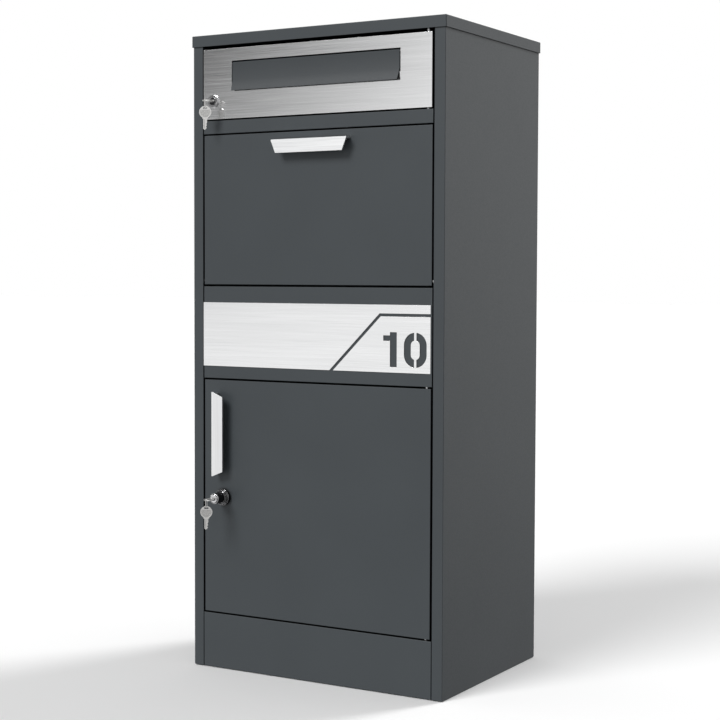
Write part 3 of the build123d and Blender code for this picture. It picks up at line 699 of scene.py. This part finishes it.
def dome(tree, radius, height, sides=24, rings=12):
    # a flattened cap on the z = 0 plane, closed by its hull
    ball = tree.nodes.new("GeometryNodeMeshUVSphere")
    ball.inputs["Segments"].default_value = sides
    ball.inputs["Rings"].default_value = rings
    ball.inputs["Radius"].default_value = 1.0
    position = tree.nodes.new("GeometryNodeInputPosition")
    split = tree.nodes.new("ShaderNodeSeparateXYZ")
    tree.links.new(position.outputs["Position"], split.inputs["Vector"])
    below = combine(tree, "LESS_THAN", split.outputs["Z"], -0.01)
    cut = tree.nodes.new("GeometryNodeDeleteGeometry")
    tree.links.new(ball.outputs["Mesh"], cut.inputs["Geometry"])
    tree.links.new(below, cut.inputs["Selection"])
    size = tree.nodes.new("ShaderNodeCombineXYZ")
    tree.links.new(radius, size.inputs["X"])
    tree.links.new(radius, size.inputs["Y"])
    tree.links.new(height, size.inputs["Z"])
    flat = tree.nodes.new("GeometryNodeTransform")
    tree.links.new(cut.outputs["Geometry"], flat.inputs["Geometry"])
    tree.links.new(size.outputs["Vector"], flat.inputs["Scale"])
    hull = tree.nodes.new("GeometryNodeConvexHull")
    tree.links.new(flat.outputs["Geometry"], hull.inputs["Geometry"])
    return hull.outputs["Convex Hull"]


def instanceOut(tree, groupIn, groupOut, part, finish):
    # one part on every point, turned to the point's own outward direction
    outward = tree.nodes.new("GeometryNodeInputNamedAttribute")
    outward.data_type = "FLOAT_VECTOR"
    outward.inputs["Name"].default_value = "outward"
    align = tree.nodes.new("FunctionNodeAlignRotationToVector")
    align.axis = "Z"
    tree.links.new(outward.outputs["Attribute"], align.inputs["Vector"])
    put = tree.nodes.new("GeometryNodeInstanceOnPoints")
    tree.links.new(groupIn.outputs["Geometry"], put.inputs["Points"])
    tree.links.new(part, put.inputs["Instance"])
    tree.links.new(align.outputs["Rotation"], put.inputs["Rotation"])
    real = tree.nodes.new("GeometryNodeRealizeInstances")
    tree.links.new(put.outputs["Instances"], real.inputs["Geometry"])
    smooth = tree.nodes.new("GeometryNodeSetShadeSmooth")
    tree.links.new(real.outputs["Geometry"], smooth.inputs["Geometry"])
    paint = tree.nodes.new("GeometryNodeSetMaterial")
    paint.inputs["Material"].default_value = finish
    tree.links.new(smooth.outputs["Geometry"], paint.inputs["Geometry"])
    tree.links.new(paint.outputs["Geometry"], groupOut.inputs["Geometry"])


def rivetTree(sizes, finish):
    # the z = 0 plane is the outer face of the sheet under the head
    tree, groupIn, groupOut = newTree("blindRivet", sizes)
    value = groupIn.outputs
    head = dome(tree, value["Head Radius"], value["Head Height"])
    pip = drum(tree, value["Mandrel Radius"], value["Head Height"], 14)
    shank = drum(tree, value["Shank Radius"], value["Grip"])
    bulb = dome(tree, value["Bulb Radius"], value["Bulb Height"])
    # a negative scale turns the bulb inside out, so its faces are flipped back
    flip = tree.nodes.new("GeometryNodeFlipFaces")
    tree.links.new(raised(tree, bulb, value["Grip"], -1.0, (1, 1, -1)), flip.inputs["Mesh"])
    pieces = [
        head,
        raised(tree, pip, value["Head Height"], 0.58),
        raised(tree, shank, value["Grip"], -0.5),
        flip.outputs["Mesh"],
    ]
    instanceOut(tree, groupIn, groupOut, join(tree, pieces), finish)
    return tree


def screwTree(sizes, finish):
    # the z = 0 plane is under the head, the shank runs down from it
    tree, groupIn, groupOut = newTree("crossScrew", sizes)
    value = groupIn.outputs
    head = dome(tree, value["Head Radius"], value["Head Height"], 28, 14)
    bars = []
    for turned in (False, True):
        bar = tree.nodes.new("GeometryNodeMeshCube")
        size = tree.nodes.new("ShaderNodeCombineXYZ")
        tree.links.new(value["Recess Long"], size.inputs["Y" if turned else "X"])
        tree.links.new(value["Recess Wide"], size.inputs["X" if turned else "Y"])
        tree.links.new(value["Head Height"], size.inputs["Z"])
        tree.links.new(size.outputs["Vector"], bar.inputs["Size"])
        bars.append(raised(tree, bar.outputs["Mesh"], value["Head Height"], 0.98))
    cut = tree.nodes.new("GeometryNodeMeshBoolean")
    cut.operation = "DIFFERENCE"
    tree.links.new(head, cut.inputs["Mesh 1"])
    for bar in bars:
        tree.links.new(bar, cut.inputs["Mesh 2"])
    bar = drum(tree, value["Shank Radius"], value["Length"])
    shank = raised(tree, bar, value["Length"], -0.5)
    instanceOut(tree, groupIn, groupOut, join(tree, [cut.outputs["Mesh"], shank]), finish)
    return tree


def repeatPart(name, tree, places, nodeName):
    # places are (point, outward direction) pairs
    seed = bpy.data.meshes.new(name + "Places")
    seed.from_pydata([tuple(point) for point, _ in places], [], [])
    direction = seed.attributes.new("outward", "FLOAT_VECTOR", "POINT")
    for i, (_, outward) in enumerate(places):
        direction.data[i].vector = outward
    holder = bpy.data.objects.new(name + "Places", seed)
    scene.collection.objects.link(holder)
    maker = holder.modifiers.new("repeat", "NODES")
    maker.node_group = tree
    bpy.context.view_layer.update()
    ready = holder.evaluated_get(bpy.context.evaluated_depsgraph_get())
    made = bpy.data.meshes.new_from_object(ready)
    bpy.data.objects.remove(holder)
    piece = bpy.data.objects.new(name, made)
    scene.collection.objects.link(piece)
    made.set_sharp_from_angle(angle=radians(sheetWork["smooth"]))
    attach(piece, nodes[nodeName]["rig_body"])
    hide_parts(nodeName)


rivetSizes = {
    "Head Radius": 3.2 * mm,
    "Head Height": 1.2 * mm,
    "Mandrel Radius": 0.75 * mm,
    "Shank Radius": 1.6 * mm,
    "Grip": 4.0 * mm,
    "Bulb Radius": 2.6 * mm,
    "Bulb Height": 1.6 * mm,
}
screwSizes = {
    "Head Radius": 3.8 * mm,
    "Head Height": 2.4 * mm,
    "Recess Long": 3.6 * mm,
    "Recess Wide": 0.8 * mm,
    "Shank Radius": 2.0 * mm,
    "Length": 4.6 * mm,
}

rivetPlaces = []
for low, high in islands("panel_rivets"):
    middle = (low + high) / 2
    side = 1 if middle.x > 0 else -1
    outer = high.x if side > 0 else low.x
    point = Vector((outer - side * rivetSizes["Head Height"], middle.y, middle.z))
    rivetPlaces.append((point, (side, 0, 0)))
rivetMaker = rivetTree(rivetSizes, finishes["zinc_steel"])
repeatPart("panelRivets", rivetMaker, rivetPlaces, "panel_rivets")

screwMaker = screwTree(screwSizes, finishes["zinc_steel"])
for nodeName in ("parcel_handle_screws", "removal_handle_screws"):
    places = []
    for low, high in islands(nodeName):
        middle = (low + high) / 2
        point = Vector((middle.x, high.y - screwSizes["Head Height"], middle.z))
        places.append((point, (0, 1, 0)))
    repeatPart(pieceName(nodeName), screwMaker, places, nodeName)
print("rivets and screws set")


# studio
studio = {
    "floorSize": 60,
    "floorDark": (0.865, 0.865, 0.865),
    "floorLight": (0.89, 0.89, 0.89),
    "floorRough": 0.7,
    "floorCloud": 1.5,
    "backdrop": 1.0,  # what the camera sees of the sky
    "above": 0.80,  # what the box sees of it, over and under the level
    "below": 0.22,
    "horizon": 0.12,  # the change reaches this high and low, as a height on the unit ball
    # soft boxes and flags: azimuth, elevation, where they start and end to fade, brightness
    "panels": {
        "overhead": (0, 90, 35, 62, 0.36),
        "doorSide": (-24, -3, 24, 46, 1.16),
        "doorFlag": (-46, 18, 14, 22, 0.03),
        "rightFlag": (80, 0, 16, 36, 0.40),
        "boxFront": (26, 4, 8, 22, 0.95),
        "farSide": (152, 14, 12, 36, 1.70),
        "floorGlow": (-60, -60, 25, 45, 0.70),
    },
}

# azimuth, elevation, softness in degrees, strength
lamps = {
    "doorSide": (-17, 38, 26, 2.10),
    "sideBack": (154, 42, 14, 1.50),
}


def sunLight(name, azimuth, elevation, softness, strength):
    data = bpy.data.lights.new(name, "SUN")
    data.angle = radians(softness)
    data.energy = strength
    lamp = bpy.data.objects.new(name, data)
    way = toward(azimuth, elevation)
    lamp.location = 4 * way
    lamp.rotation_euler = way.to_track_quat("Z", "Y").to_euler()
    scene.collection.objects.link(lamp)


def studioFloor(setup):
    half = setup["floorSize"] / 2
    mesh = bpy.data.meshes.new("studioFloor")
    corners = [(-half, -half, 0), (half, -half, 0), (half, half, 0), (-half, half, 0)]
    mesh.from_pydata(corners, [], [(0, 1, 2, 3)])
    finish, tree, shader, place = startFinish("floorPaint")
    cloud = grain(tree, place, setup["floorCloud"], 3)
    paint = tint(tree, cloud, setup["floorDark"], setup["floorLight"])
    tree.links.new(paint, shader.inputs["Base Color"])
    shader.inputs["Roughness"].default_value = setup["floorRough"]
    shader.inputs["Specular IOR Level"].default_value = 0.0
    mesh.materials.append(finish)
    floor = bpy.data.objects.new("studioFloor", mesh)
    scene.collection.objects.link(floor)
    # the sky's lower half stands in for the light off the floor, so the box sees that alone
    floor.visible_diffuse = False
    floor.visible_glossy = False
    floor.visible_shadow = False


def studioSky(setup):
    world = bpy.data.worlds.new("studioSky")
    world.use_nodes = True
    scene.world = world
    tree = world.node_tree
    tree.nodes.clear()
    out = tree.nodes.new("ShaderNodeOutputWorld")
    light = tree.nodes.new("ShaderNodeBackground")
    way = tree.nodes.new("ShaderNodeTexCoord").outputs["Generated"]
    split = tree.nodes.new("ShaderNodeSeparateXYZ")
    tree.links.new(way, split.inputs["Vector"])
    reach = setup["horizon"]
    bright = spread(tree, split.outputs["Z"], setup["below"], setup["above"], -reach, reach)
    for azimuth, elevation, inner, outer, value in setup["panels"].values():
        near = tree.nodes.new("ShaderNodeVectorMath")
        near.operation = "DOT_PRODUCT"
        near.inputs[1].default_value = toward(azimuth, elevation)
        tree.links.new(way, near.inputs[0])
        start, full = cos(radians(outer)), cos(radians(inner))
        share = spread(tree, near.outputs["Value"], 0, 1, start, full)
        blend = tree.nodes.new("ShaderNodeMix")
        blend.inputs["B"].default_value = value
        tree.links.new(share, blend.inputs["Factor"])
        tree.links.new(bright, blend.inputs["A"])
        bright = blend.outputs["Result"]
    tree.links.new(bright, light.inputs["Strength"])
    plain = tree.nodes.new("ShaderNodeBackground")
    plain.inputs["Color"].default_value = (1, 1, 1, 1)
    plain.inputs["Strength"].default_value = setup["backdrop"]
    seen = tree.nodes.new("ShaderNodeLightPath")
    mix = tree.nodes.new("ShaderNodeMixShader")
    tree.links.new(seen.outputs["Is Camera Ray"], mix.inputs["Fac"])
    tree.links.new(light.outputs["Background"], mix.inputs[1])
    tree.links.new(plain.outputs["Background"], mix.inputs[2])
    tree.links.new(mix.outputs["Shader"], out.inputs["Surface"])


scene.view_settings.view_transform = "Standard"
studioFloor(studio)
studioSky(studio)
for lampName, lamp in lamps.items():
    sunLight(lampName, *lamp)
print("studio lit")
